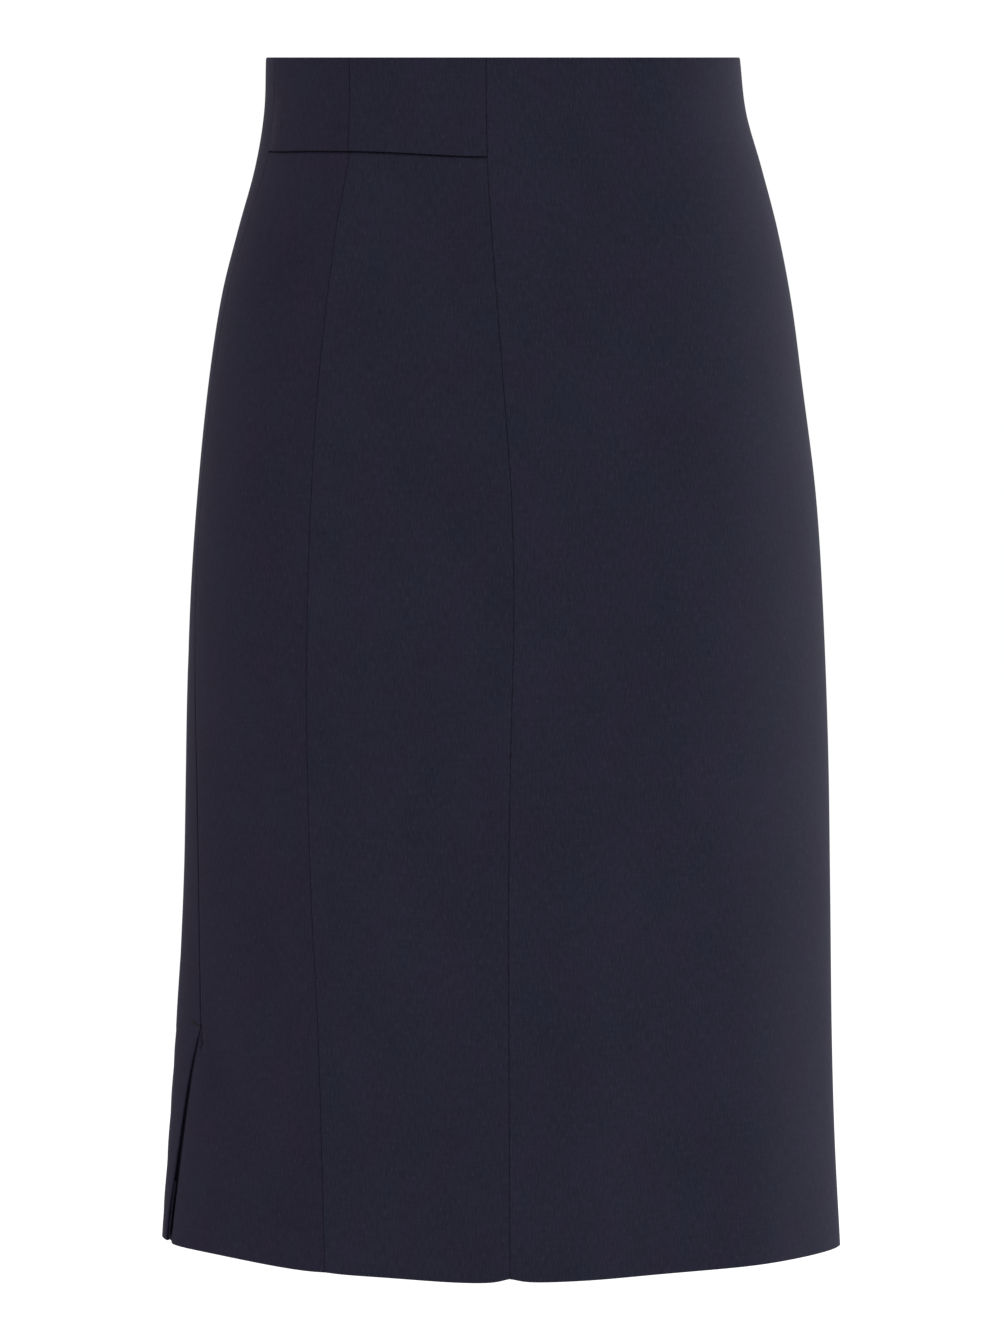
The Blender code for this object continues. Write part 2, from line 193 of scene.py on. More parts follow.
# The slider's bridge from its top end to its bottom end: heights about the hinge, and the shares
# of its full width and of its rails' rise.
BridgeRing = namedtuple("BridgeRing", "height width rise")
BRIDGE = (
    BridgeRing(0.0036, 0.78, 0.30),
    BridgeRing(0.0031, 0.93, 0.62),
    BridgeRing(0.0020, 1.00, 1.00),
    BridgeRing(-0.0022, 1.00, 1.00),
    BridgeRing(-0.0044, 0.93, 0.52),
    BridgeRing(-0.0054, 0.80, 0.24),
)
# The pull from its barrel to its tip: heights about the hinge, half widths and half thicknesses.
PullRing = namedtuple("PullRing", "height half_width half_thickness")
PULL = (
    PullRing(0.00078, 0.0016, 0.00018),
    PullRing(0.00062, 0.0017, 0.0005),
    PullRing(0.0003, 0.0017, 0.00074),
    PullRing(0.0, 0.0017, 0.0008),
    PullRing(-0.0003, 0.0017, 0.00074),
    PullRing(-0.0007, 0.0016, 0.0005),
    PullRing(-0.0030, 0.0013, 0.0004),
    PullRing(-0.0065, 0.0016, 0.0004),
    PullRing(-0.0100, 0.0021, 0.00045),
    PullRing(-0.0135, 0.0026, 0.0005),
    PullRing(-0.0165, 0.0028, 0.0005),
    PullRing(-0.0182, 0.0025, 0.0005),
    PullRing(-0.0193, 0.0018, 0.00045),
    PullRing(-0.0199, 0.0009, 0.0003),
)

# Half widths to the wearer's left and right, depths to the front and back, and how square each
# half of the section is: 2 is an ellipse, and less draws the sides in towards an edge.
Section = namedtuple("Section", "drop left right front back front_power back_power")
SECTIONS = (
    Section(0.000, 0.1310, 0.1300, 0.0900, 0.0830, 2.05, 2.05),
    Section(0.030, 0.1345, 0.1311, 0.0950, 0.0870, 2.05, 2.05),
    Section(0.060, 0.1430, 0.1361, 0.0995, 0.0945, 2.00, 2.05),
    Section(0.095, 0.1522, 0.1457, 0.1045, 0.1050, 2.00, 2.05),
    Section(0.135, 0.1600, 0.1551, 0.1095, 0.1155, 1.95, 2.05),
    Section(0.180, 0.1661, 0.1622, 0.1140, 0.1230, 1.90, 2.05),
    Section(0.240, 0.1738, 0.1686, 0.1185, 0.1245, 1.85, 2.00),
    Section(0.300, 0.1780, 0.1729, 0.1205, 0.1195, 1.80, 1.90),
    Section(0.380, 0.1812, 0.1759, 0.1210, 0.1120, 1.70, 1.75),
    Section(0.460, 0.1826, 0.1779, 0.1205, 0.1075, 1.60, 1.65),
    Section(0.540, 0.1839, 0.1825, 0.1195, 0.1050, 1.55, 1.60),
    Section(0.600, 0.1860, 0.1865, 0.1185, 0.1045, 1.50, 1.55),
    Section(0.662, 0.1897, 0.1903, 0.1180, 0.1040, 1.48, 1.52),
)
SeamRow = namedtuple("SeamRow", "drop front_x princess_x side_y")
SEAMS = (
    SeamRow(0.000, -0.0086, -0.0826, -0.0280),
    SeamRow(0.050, -0.0081, -0.0826, -0.0310),
    SeamRow(0.095, -0.0054, -0.0900, -0.0270),
    SeamRow(0.170, 0.0004, -0.0988, -0.0205),
    SeamRow(0.240, 0.0053, -0.1034, -0.0185),
    SeamRow(0.300, 0.0064, -0.1054, -0.0200),
    SeamRow(0.380, 0.0045, -0.1058, -0.0233),
    SeamRow(0.460, 0.0035, -0.1038, -0.0251),
    SeamRow(0.540, 0.0038, -0.0998, -0.0308),
    SeamRow(0.662, 0.0043, -0.0967, -0.0330),
)

# Soft creases: from one end to the other, each end at an X and a drop, with the crease's half
# width and its height, below 0 for a trough. The side says which half of the skirt it is on.
Crease = namedtuple("Crease", "side x0 drop0 x1 drop1 half_width height")
CREASES = (
    Crease("front", -0.064, 0.150, -0.030, 0.235, 0.014, -0.0016),
    Crease("front", 0.030, 0.250, 0.080, 0.200, 0.016, -0.0010),
    Crease("front", -0.160, 0.545, -0.122, 0.610, 0.012, -0.0016),
    Crease("front", -0.045, 0.608, 0.002, 0.600, 0.010, -0.0009),
    Crease("front", -0.055, 0.490, -0.010, 0.486, 0.012, -0.0006),
    Crease("front", -0.140, 0.400, -0.125, 0.500, 0.026, -0.0012),
    Crease("front", -0.135, 0.130, -0.135, 0.360, 0.022, 0.0012),
    Crease("front", 0.105, 0.270, 0.112, 0.420, 0.032, 0.0012),
    Crease("front", 0.060, 0.480, 0.075, 0.650, 0.024, -0.0008),
    Crease("front", 0.130, 0.500, 0.140, 0.660, 0.022, 0.0012),
    Crease("front", -0.050, 0.330, -0.040, 0.470, 0.024, 0.0008),
    Crease("front", -0.114, 0.008, -0.106, 0.012, 0.005, -0.0007),
    Crease("back", -0.070, 0.250, -0.020, 0.300, 0.018, -0.0028),
    Crease("back", 0.078, 0.262, 0.026, 0.296, 0.014, -0.0024),
    Crease("back", -0.105, 0.330, -0.090, 0.520, 0.026, 0.0026),
    Crease("back", 0.100, 0.360, 0.110, 0.560, 0.026, 0.0030),
    Crease("back", -0.045, 0.420, -0.055, 0.640, 0.022, -0.0028),
    Crease("back", 0.052, 0.410, 0.040, 0.600, 0.020, -0.0026),
    Crease("back", -0.150, 0.240, -0.120, 0.275, 0.012, -0.0016),
    Crease("back", 0.158, 0.215, 0.122, 0.262, 0.013, -0.0020),
    Crease("back", 0.150, 0.470, 0.128, 0.560, 0.018, -0.0022),
    Crease("back", -0.125, 0.110, -0.095, 0.160, 0.016, -0.0016),
    Crease("back", 0.125, 0.120, 0.100, 0.170, 0.016, -0.0014),
)
CREASE_FADE = 0.02          # creases fade out this near the waist edge
CREASE_LEFT = 0.3

# The cloth's broad ease, from DRAPE_TOP down: heights, waves in a turn, phases, and how far each
# wave leans with the drop.
Wave = namedtuple("Wave", "height count phase lean")
WAVES = (
    Wave(0.0010, 5.0, 0.6, 3.0),
    Wave(0.0007, 9.0, 2.1, -5.0),
)
DRAPE_TOP = 0.30
DRAPE_EASE = 0.34


# ---------------------------------------------------------------- reading the tables
def read(table, column, drop):
    """A column's values at drops, on a smooth curve through the table's rows."""
    knots = np.array([row.drop for row in table])
    values = np.array([getattr(row, column) for row in table])
    low = np.maximum(np.arange(len(knots)) - 1, 0)
    high = np.minimum(np.arange(len(knots)) + 1, len(knots) - 1)
    slopes = (values[high] - values[low]) / (knots[high] - knots[low])
    drop = np.clip(drop, knots[0], knots[-1])
    here = np.clip(np.searchsorted(knots, drop, side="right") - 1, 0, len(knots) - 2)
    span = knots[here + 1] - knots[here]
    t = (drop - knots[here]) / span
    return ((2 * t**3 - 3 * t**2 + 1) * values[here]
            + (t**3 - 2 * t**2 + t) * span * slopes[here]
            + (3 * t**2 - 2 * t**3) * values[here + 1]
            + (t**3 - t**2) * span * slopes[here + 1])


def eased(t):
    """0 before 0, 1 after 1, and a smooth rise between."""
    t = np.clip(t, 0.0, 1.0)
    return t * t * (3.0 - 2.0 * t)


# ---------------------------------------------------------------- the skirt's face
def face_point(turn, drop):
    """The skirt's outer face at turns and drops, as rows of X, Y and Z."""
    turn, drop = np.broadcast_arrays(np.asarray(turn, float), np.asarray(drop, float))
    across, along = np.cos(np.radians(turn)), np.sin(np.radians(turn))
    width = np.where(across > 0, read(SECTIONS, "left", drop), read(SECTIONS, "right", drop))
    behind = along > 0
    depth = np.where(behind, read(SECTIONS, "back", drop), read(SECTIONS, "front", drop))
    power = np.where(
        behind, read(SECTIONS, "back_power", drop), read(SECTIONS, "front_power", drop))
    reach = (np.abs(across / width)**power + np.abs(along / depth)**power) ** (-1.0 / power)
    return np.stack([reach * across, reach * along, -drop], axis=-1)


def along_section(turn, drop):
    """How the face moves with the turn, level, in metres a degree."""
    ahead, behind = face_point(turn + TURN_STEP, drop), face_point(turn - TURN_STEP, drop)
    return (ahead - behind) / (2.0 * TURN_STEP)


def metres_a_degree(turn, drop):
    return np.linalg.norm(along_section(turn, drop), axis=-1)


def cloth_point(turn, drop, out):
    """The face moved level outwards, or inwards where out is negative."""
    run = along_section(turn, drop)
    run = run / np.linalg.norm(run, axis=-1, keepdims=True)
    outward = np.stack([run[..., 1], -run[..., 0], np.zeros_like(run[..., 0])], axis=-1)
    return face_point(turn, drop) + np.asarray(out)[..., None] * outward


def moved_turn(turn, drop, distance):
    """The turn that lies a distance further along the section."""
    return turn + distance / metres_a_degree(turn, drop)


def beyond(path, turn, drop):
    """How far a turn lies beyond a path down the cloth, along the section."""
    return metres_a_degree(turn, drop) * (turn - path(drop))


def turn_at_x(x, drop, half="front"):
    """The turn of the front's or back's point at an X."""
    width = np.where(x > 0, read(SECTIONS, "left", drop), read(SECTIONS, "right", drop))
    power = read(SECTIONS, half + "_power", drop)
    y = read(SECTIONS, half, drop) * (1.0 - (np.abs(x) / width)**power) ** (1.0 / power)
    return np.degrees(np.arctan2(-y if half == "front" else y, x)) % 360.0


def turn_at_y(y, drop, side):
    """The turn of a side's point at a Y: side is 'left' or 'right'."""
    behind = y > 0
    depth = np.where(behind, read(SECTIONS, "back", drop), read(SECTIONS, "front", drop))
    power = np.where(
        behind, read(SECTIONS, "back_power", drop), read(SECTIONS, "front_power", drop))
    x = read(SECTIONS, side, drop) * (1.0 - (np.abs(y) / depth)**power) ** (1.0 / power)
    return np.degrees(np.arctan2(y, -x if side == "right" else x)) % 360.0


# ---------------------------------------------------------------- the seams, as turns
def front_seam(drop):
    return turn_at_x(read(SEAMS, "front_x", drop), drop)


def princess_seam(drop):
    return turn_at_x(read(SEAMS, "princess_x", drop), drop)


def right_side_seam(drop):
    return turn_at_y(read(SEAMS, "side_y", drop), drop, "right")


def left_side_seam(drop):
    return turn_at_y(np.full_like(drop, LEFT_SIDE_Y), drop, "left")


def back_seam(drop):
    return np.full_like(drop, BACK_TURN)


def left_dart(drop):
    return turn_at_x(DART_X + DART_SLANT * np.minimum(drop, DART_LENGTH), drop, "back")


def right_dart(drop):
    return turn_at_x(-DART_X - DART_SLANT * np.minimum(drop, DART_LENGTH), drop, "back")


def vent_opened(drop):
    return np.clip((drop - VENT_TOP) / (LENGTH - VENT_TOP), 0.0, 1.0)


def vent_edge(drop):
    """The back panel's free edge: it swings back from the right side seam below the vent's top."""
    swing = VENT_SWING * vent_opened(drop)**VENT_CURVE
    return moved_turn(right_side_seam(drop), drop, -swing)


def lap_edge(drop):
    """The far edge of the side front panel's lap, behind the back panel."""
    reach = SIDE_LAP + (UNDERLAP - SIDE_LAP) * eased((drop - VENT_TOP) / UNDERLAP_EASE)
    return moved_turn(vent_edge(drop), drop, -reach)


# ---------------------------------------------------------------- the skirt's edges, as drops
# Where the hem is drawn up: the seam, how far, and how many degrees away it is half of that.
HemNotch = namedtuple("HemNotch", "seam rise half_turn")
HEM_NOTCHES = (
    HemNotch(front_seam, 0.0026, 3.2),
    HemNotch(princess_seam, 0.0005, 3.0),
    HemNotch(back_seam, 0.0016, 3.6),
)


def waist_edge(turn):
    return np.zeros_like(turn)


def hem_edge(turn):
    """The hem: drawn up a little at each seam, and more on the vent's side of the skirt."""
    drop = np.full_like(turn, LENGTH + HEM_HANG)
    for notch in HEM_NOTCHES:
        away = (turn - notch.seam(np.full_like(turn, LENGTH)) + 180.0) % 360.0 - 180.0
        drop = drop - notch.rise / (1.0 + (away / notch.half_turn)**2)
    x = face_point(turn, LENGTH)[..., 0]
    return drop - VENT_SIDE_RISE * eased((VENT_SIDE_X - x) / VENT_SIDE_RUN)


def back_hem_edge(turn):
    """The back's hem, drawn up a little further at the vent's free corner."""
    away = turn % 360.0 - CORNER_TURN
    return hem_edge(turn) - CORNER_RISE * np.exp(-(away / CORNER_SPREAD)**2)


def yoke_edge(turn):
    """The yoke's lower edge, which slopes down a little towards the front seam."""
    x = face_point(turn, YOKE_LEVEL)[..., 0]
    slope = YOKE_SLOPE * eased((x - YOKE_SLOPE_X) / YOKE_SLOPE_RUN)
    return YOKE_DEPTH + slope + YOKE_DIP * eased((YOKE_DIP_X - x) / YOKE_DIP_RUN)


def behind_yoke(turn):
    return yoke_edge(turn) - YOKE_LAP


# ---------------------------------------------------------------- relief
def crease_height(turn, drop):
    """The height of all creases at places on the cloth."""
    point = face_point(turn, drop)
    at = np.stack([point[..., 0], drop], axis=-1)
    behind = np.sin(np.radians(turn)) > 0
    total = np.zeros(at.shape[:-1])
    for crease in CREASES:
        start = np.array([crease.x0, crease.drop0])
        run = np.array([crease.x1, crease.drop1]) - start
        share = ((at - start) @ run) / (run @ run)
        gap = np.linalg.norm(at - start - np.clip(share, 0, 1)[..., None] * run, axis=-1)
        bump = np.exp(-(gap / crease.half_width)**2)
        same = behind == (crease.side == "back")
        total += np.where(same, crease.height * bump, 0.0)
    return total * eased(drop / CREASE_FADE + CREASE_LEFT)


def drape(turn, drop):
    """The cloth's broad ease: shallow waves that grow towards the hem."""
    angle = np.radians(turn)
    total = sum(wave.height * np.sin(wave.count * angle + wave.phase + wave.lean * drop)
                for wave in WAVES)
    return eased((drop - DRAPE_TOP) / DRAPE_EASE) * total


def relief(turn, drop):
    return crease_height(turn, drop) + drape(turn, drop)


def flush(turn, drop):
    return np.zeros_like(turn)


def yoke_lift(turn, drop):
    """The yoke stands off the figure towards its lower edge, and is held down at its two ends."""
    start = yoke_edge(turn) - YOKE_LAP - YOKE_EASE
    from_front = beyond(front_seam, turn, drop) / YOKE_END
    from_side = beyond(right_side_seam, turn, drop) / YOKE_END
    free = (1.0 - np.exp(-from_front**2)) * (1.0 - np.exp(-from_side**2))
    return (YOKE_END_LIFT + YOKE_LIFT * free) * eased((drop - start) / YOKE_EASE)


def behind_yoke_lift(turn, drop):
    """The panels below the yoke lie inside the skirt's face until just below its edge."""
    return -YOKE_RECESS * (1.0 - eased((drop - yoke_edge(turn) - RECESS_START) / RECESS_EASE))


def side_front_lift(turn, drop):
    """The side front steps in behind the back panel at the seam, and sinks softly at the vent."""
    opened = vent_opened(drop)
    softness = (LAP_STEP + LAP_STEP_BELOW * eased((drop - HIPS) / HIPS_EASE)
                + LAP_STEP_VENT * eased(opened / VENT_SOFT_SHARE))
    depth = LAP_DEPTH + LAP_DEEPER * opened
    away = np.maximum(beyond(vent_edge, turn, drop), 0.0)
    beside = beyond(right_side_seam, turn, drop) / TACK_CREASE_HALF
    below = (drop - VENT_TOP - TACK_CREASE_BELOW) / TACK_CREASE_REACH
    sink = depth * np.exp(-away / softness) + TACK_CREASE * np.exp(-beside**2 - below**4)
    return behind_yoke_lift(turn, drop) - sink


def dart_lift(turn, drop, dart):
    """A dart's fine groove, and the small fullness in the cloth at its point."""
    away = beyond(dart, turn, drop)
    below = drop - DART_LENGTH
    sewn = 1.0 - eased((below + DART_FADE) / DART_FADE)
    groove = DART_GROOVE * np.exp(-(away / DART_GROOVE_HALF)**2) * sewn
    level = (below - FULLNESS_BELOW) / FULLNESS_DROP
    return DART_FULLNESS * np.exp(-level**2 - (away / FULLNESS_HALF)**2) - groove


def back_left_lift(turn, drop):
    return dart_lift(turn, drop, left_dart)


def back_right_lift(turn, drop):
    """The back panel's free edge rolls outwards a little, in one long wave down the vent."""
    opened = vent_opened(drop)
    roll = np.exp(-(beyond(vent_edge, turn, drop) / EDGE_ROLL)**2)
    corner = CORNER_WAVE * np.exp(-((opened - CORNER_WAVE_AT) / CORNER_WAVE_SPREAD)**2)
    wave = EDGE_WAVE * np.sin(math.pi * opened) + corner
    return roll * wave + dart_lift(turn, drop, right_dart)


# ---------------------------------------------------------------- shells
# An edge's profile is a row of places from its raw end to the face, each a distance in from the
# edge and a lift. These set how close the places are.
ALLOWANCE_SHARES = (1.0, 0.6, 0.25, 0.08)
TURN_IN_ANGLES = (180, 150, 120, 90, 60, 30, 0)
FACE_STEPS = (0.0006, 0.0016, 0.0032)
RAW_STEPS = (0.0, 0.0012, 0.0030)
YOKE_EDGE_STEPS = (-0.0030, -0.0008, 0.0, 0.0003, 0.0006, 0.0009, 0.0012, 0.0016, 0.0024)


def turned_in(radius, depth):
    """The profile of an edge whose allowance is turned in and pressed flat behind the face."""
    start = CLOTH / 2.0 - SEAM_NIP + radius
    flat = [(start + (depth - radius) * share, -2.0 * radius) for share in ALLOWANCE_SHARES]
    arc = [(start - radius * math.sin(a), -radius + radius * math.cos(a))
           for a in np.radians(TURN_IN_ANGLES)]
    face = [(start + step, 0.0) for step in FACE_STEPS]
    return flat + arc + face


SEAM = turned_in(SEAM_RADIUS, SEAM_ALLOWANCE)
SIDE_SEAM = turned_in(SIDE_SEAM_RADIUS, SEAM_ALLOWANCE)
WAIST = turned_in(EDGE_RADIUS, WAIST_TURN_IN)
HEM = turned_in(EDGE_RADIUS, HEM_TURN_UP)
YOKE_HEM = turned_in(SEAM_RADIUS, YOKE_TURN_UP)
RAW = [(CLOTH / 2.0 + step, 0.0) for step in RAW_STEPS]
BEHIND_YOKE = RAW + [(YOKE_LAP + step, 0.0) for step in YOKE_EDGE_STEPS]


def between(first, last, count):
    """Evenly spaced values from the first to the last, leaving both out."""
    return [first + (last - first) * (k + 1) / (count + 1) for k in range(count)]


def columns_of(start, end, drop, first, last, count, fold):
    """Turns of a shell's columns at drops, and each column's lift."""
    begin = start(drop)
    finish = begin + (end(drop) - begin) % 360.0
    near = [moved_turn(begin, drop, distance) for distance, _ in first]
    far = [moved_turn(finish, drop, -distance) for distance, _ in reversed(last)]
    if fold:
        path, share, offsets = fold
        close = [moved_turn(path(drop), drop, distance) for distance in offsets]
        before = round(share * count)
        inner = (between(near[-1], close[0], before) + close
                 + between(close[-1], far[0], count - before))
    else:
        inner = between(near[-1], far[0], count)
    lifts = [lift for _, lift in first] + [0.0] * len(inner) + [lift for _, lift in reversed(last)]
    return np.stack(near + inner + far, axis=-1), np.array(lifts)


def shell(name, start, end, top, bottom, first, last, upper, lower, lift, fold=None):
    """A panel's cloth: a grid of places between two seams and two edges, with turned-in borders.

    start and end give the seams' turns, top and bottom the edges' drops, and first, last, upper
    and lower the borders' profiles. A fold is a line down the panel that takes close columns: its
    path, the share of the columns before it, and the close columns' distances from it.
    """
    level = np.array([SIZING_LEVEL * LENGTH])
    spread = (end(level) - start(level)) % 360.0
    width = (metres_a_degree(start(level), level) * spread)[0]
    across = max(FEWEST_STEPS, round(width / FACE_STEP))
    middle = start(level) + spread / 2.0
    height = (bottom(middle) - top(middle))[0]
    down = max(FEWEST_STEPS, round(height / FACE_STEP))

    def drops_of(turn):
        head, foot = top(turn), bottom(turn)
        near = [head + distance for distance, _ in upper]
        far = [foot - distance for distance, _ in reversed(lower)]
        return np.stack(near + between(near[-1], far[0], down) + far, axis=0)

    row_lifts = np.array(
        [x for _, x in upper] + [0.0] * down + [x for _, x in reversed(lower)])
    # The drops come from turns taken at level rows, and the turns then from the drops.
    levels = drops_of(middle)[:, 0]
    turns, column_lifts = columns_of(start, end, levels, first, last, across, fold)
    drops = np.stack([drops_of(row)[i] for i, row in enumerate(turns)])
    for j in range(len(column_lifts)):
        turns[:, j] = columns_of(start, end, drops[:, j], first, last, across, fold)[0][:, j]
    out = row_lifts[:, None] + column_lifts[None, :] - CLOTH / 2.0
    out = out + lift(turns, drops) + relief(turns, drops)
    made = mesh_object(name, cloth_point(turns, drops, out), grid_quads(*turns.shape).tolist())
    give_wall(made, flat_places(turns, drops), CLOTH)
    return made


def flat_places(turns, drops):
    """Where each point lies on the flat cloth: metres across from the panel's middle, and down."""
    points = face_point(turns, drops)
    steps = np.linalg.norm(np.diff(points[..., :2], axis=1), axis=-1)
    forward = np.sign(np.diff(turns, axis=1))
    across = np.concatenate(
        [np.zeros((len(turns), 1)), np.cumsum(steps * forward, axis=1)], axis=1)
    across -= across[:, across.shape[1] // 2][:, None]
    return np.stack([across, drops, np.zeros_like(drops)], axis=-1)


def grid_quads(rows, columns):
    """The faces of a grid of points, outer side out."""
    index = np.arange(rows * columns).reshape(rows, columns)
    quads = np.stack([index[:-1, :-1], index[1:, :-1], index[1:, 1:], index[:-1, 1:]], axis=-1)
    return quads.reshape(-1, 4)


def mesh_object(name, points, faces):
    mesh = bpy.data.meshes.new(name)
    mesh.from_pydata(np.reshape(points, (-1, 3)).tolist(), [], [list(face) for face in faces])
    mesh.shade_smooth()
    made = bpy.data.objects.new(name, mesh)
    bpy.context.collection.objects.link(made)
    return made


def give_wall(made, places, wall):
    """Gives a sheet its wall, and keeps its points' places on the flat cloth as an attribute."""
    flat = made.data.attributes.new("cloth", "FLOAT_VECTOR", "POINT")
    flat.data.foreach_set("vector", places.reshape(-1, 3).astype(np.float32).ravel())
    thickness = made.modifiers.new("wall", "SOLIDIFY")
    thickness.thickness = wall
    thickness.offset = 0.0


def cloth_piece(made, node, finish):
    """Gives a panel its finish and its body, and hides its CAD node."""
    made.data.materials.append(finish)
    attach(made, "skirt")
    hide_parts(node)


# ---------------------------------------------------------------- threads, zip and slider
def loft_faces(rings, sides):
    """The faces of a closed body through rings of points, with a flat end at each side."""
    faces = []
    for start in range(0, (rings - 1) * sides, sides):
        for k in range(sides):
            after = (k + 1) % sides
            faces.append((start + k, start + sides + k, start + sides + after, start + after))
    faces.append(tuple(range(sides)))
    faces.append(tuple(reversed(range((rings - 1) * sides, rings * sides))))
    return faces


def tube(path, radius, sides=6):
    """Points and faces of a round tube along a path, with flat ends."""
    path = np.asarray(path, float)
    run = np.gradient(path, axis=0)
    run /= np.linalg.norm(run, axis=1, keepdims=True)
    aside = np.cross(run, (0.0, 0.0, 1.0) if abs(run[0][2]) < 0.9 else (1.0, 0.0, 0.0))
    aside /= np.linalg.norm(aside, axis=1, keepdims=True)
    over = np.cross(run, aside)
    angles = (2.0 * math.pi * np.arange(sides) / sides)[None, :, None]
    ring = np.cos(angles) * aside[:, None] + np.sin(angles) * over[:, None]
    points = (path[:, None] + radius * ring).reshape(-1, 3)
    faces = [tuple(reversed(face)) for face in loft_faces(len(path), sides)]
    return points, faces


def tubes_object(name, paths, radius, sides=6):
    """One object for several tubes."""
    points, faces = [], []
    for path in paths:
        more, rings = tube(path, radius, sides)
        offset = sum(len(p) for p in points)
        points.append(more)
        faces += [tuple(offset + k for k in face) for face in rings]
    return mesh_object(name, np.concatenate(points), faces)


def vent_tack(finish):
    """The bar tack that holds the vent's top: a row of close, slanted stitches."""
    reaches, drops = np.array(TACK_ENDS).T
    turns = moved_turn(right_side_seam(drops), drops, reaches)
    lift = back_right_lift(turns, drops) + relief(turns, drops)
    start, end = cloth_point(turns, drops, lift)
    outward = cloth_point(turns, drops, lift + TACK_HALF)[0] - start
    outward /= np.linalg.norm(outward)
    run = (end - start) / np.linalg.norm(end - start)
    stitch = TACK_HALF * np.cross(outward, run) + TACK_SLANT * run
    paths = []
    for share in np.linspace(TACK_MARGIN, 1.0 - TACK_MARGIN, TACK_STITCHES):
        middle = start + (end - start) * share - TACK_SINK * outward
        paths.append([middle + math.cos(a) * stitch + TACK_RISE * math.sin(a) * outward
                      for a in np.linspace(0.0, math.pi, TACK_POINTS)])
    made = tubes_object("vent_tack", paths, TACK_THREAD)
    made.data.materials.append(finish)
    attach(made, "skirt")


def zip_tapes(finish):
    """The zip's two tapes, flat behind the centre back seam's allowances."""
    shape = (TAPE_ROWS, TAPE_COLUMNS)
    drops = np.broadcast_to(np.linspace(ZIP_TOP, ZIP_END, TAPE_ROWS)[:, None], shape)
    reach = np.linspace(TAPE_GAP, TAPE_GAP + TAPE_WIDTH, TAPE_COLUMNS)
    points, faces, places = [], [], []
    for order, row in enumerate((-reach[::-1], reach)):
        across = np.broadcast_to(row, shape)
        turns = moved_turn(np.full(shape, BACK_TURN), drops, across)
        points.append(cloth_point(turns, drops, np.full(shape, TAPE_LIFT)))
        faces += (grid_quads(*shape) + order * TAPE_ROWS * TAPE_COLUMNS).tolist()
        places.append(np.stack([across, drops, np.zeros(shape)], axis=-1))
    made = mesh_object("zip_tapes", np.concatenate(points), faces)
    give_wall(made, np.concatenate(places), TAPE_WALL)
    made.data.materials.append(finish)
    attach(made, "skirt")
    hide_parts("zip_tape")


def zip_teeth(finish):
    """The two nylon coils, closed on each other down the centre back."""
    coil_turns = (ZIP_END - ZIP_TOP - 2.0 * COIL_MARGIN) / COIL_PITCH
    steps = int(coil_turns * COIL_STEPS)
    angle = 2.0 * math.pi * np.arange(steps) / COIL_STEPS
    paths = []
    for side in (-1.0, 1.0):
        drop = ZIP_TOP + COIL_MARGIN + COIL_PITCH * (angle / (2.0 * math.pi) + COIL_LEAD * side)
        reach = COIL_REACH * (side * COIL_ASIDE + np.cos(angle))
        turn = moved_turn(np.full(steps, BACK_TURN), drop, reach)
        paths.append(cloth_point(turn, drop, COIL_LIFT + COIL_RISE * np.sin(angle)))
    made = tubes_object("zip_teeth", paths, COIL_WIRE, COIL_SIDES)
    made.data.materials.append(finish)
    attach(made, "skirt")


def at_hinge(name, rings, finish):
    """A closed body lofted through rings of points drawn about the pull's hinge axis."""
    drops = SLIDER_DROP + np.array([-SLIDER_ABOVE, 0.0, SLIDER_BELOW])
    above, hinge, below = face_point(BACK_TURN, drops)
    tilt = math.atan2(below[1] - above[1], above[2] - below[2])
    stand_off = GAP + SLIDER_PLATE + GAP + BARREL_RADIUS
    outward = np.array([0.0, math.cos(tilt), math.sin(tilt)])
    up = np.array([0.0, -math.sin(tilt), math.cos(tilt)])
    rings = np.asarray(rings, float)
    points = (hinge + stand_off * outward + rings[..., :1] * (1.0, 0.0, 0.0)
              + rings[..., 1:2] * outward + rings[..., 2:] * up)
    made = mesh_object(name, points, loft_faces(*rings.shape[:2]))
    edges = made.modifiers.new("edges", "BEVEL")
    edges.width = METAL_EDGE
    edges.segments = 2
    edges.limit_method = "ANGLE"
    made.data.materials.append(finish)
    return made


def slider(finish):
    """The slider's bridge: a plate with waisted ends between two rails, which hold the barrel."""
    inside = SLIDER_HALF - RAIL_WIDTH
    back = -(BARREL_RADIUS + GAP + SLIDER_PLATE)
    face = back + SLIDER_PLATE
    front = BARREL_RADIUS + RAIL_RISE
    outline = np.array([
        (SLIDER_HALF, back), (SLIDER_HALF, front), (inside, front), (inside, face),
        (-inside, face), (-inside, front), (-SLIDER_HALF, front), (-SLIDER_HALF, back)])
    rings = []
    for ring in BRIDGE:
        x = outline[:, 0] * ring.width
        y = np.where(outline[:, 1] > face, face + (front - face) * ring.rise, outline[:, 1])
        rings.append(np.stack([x, y, np.full(len(x), ring.height)], axis=-1))
    made = at_hinge("slider", rings, finish)
    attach(made, "skirt")
    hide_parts("zip_slider")


def pull(finish):
    """The pull: a round barrel, a narrow neck and a teardrop tab with soft edges."""
    angles = 2.0 * math.pi * (np.arange(PULL_SIDES) + 0.5) / PULL_SIDES
    across = np.sign(np.cos(angles)) * np.abs(np.cos(angles))**PULL_SQUARE_X
    outward = np.sign(np.sin(angles)) * np.abs(np.sin(angles))**PULL_SQUARE_Y
    rings = [np.stack([ring.half_width * across, ring.half_thickness * outward,
                       np.full(PULL_SIDES, ring.height)], axis=-1) for ring in PULL]
    made = at_hinge("pull_tab", rings, finish)
    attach(made, "zip_pull")
    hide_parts("zip_pull")


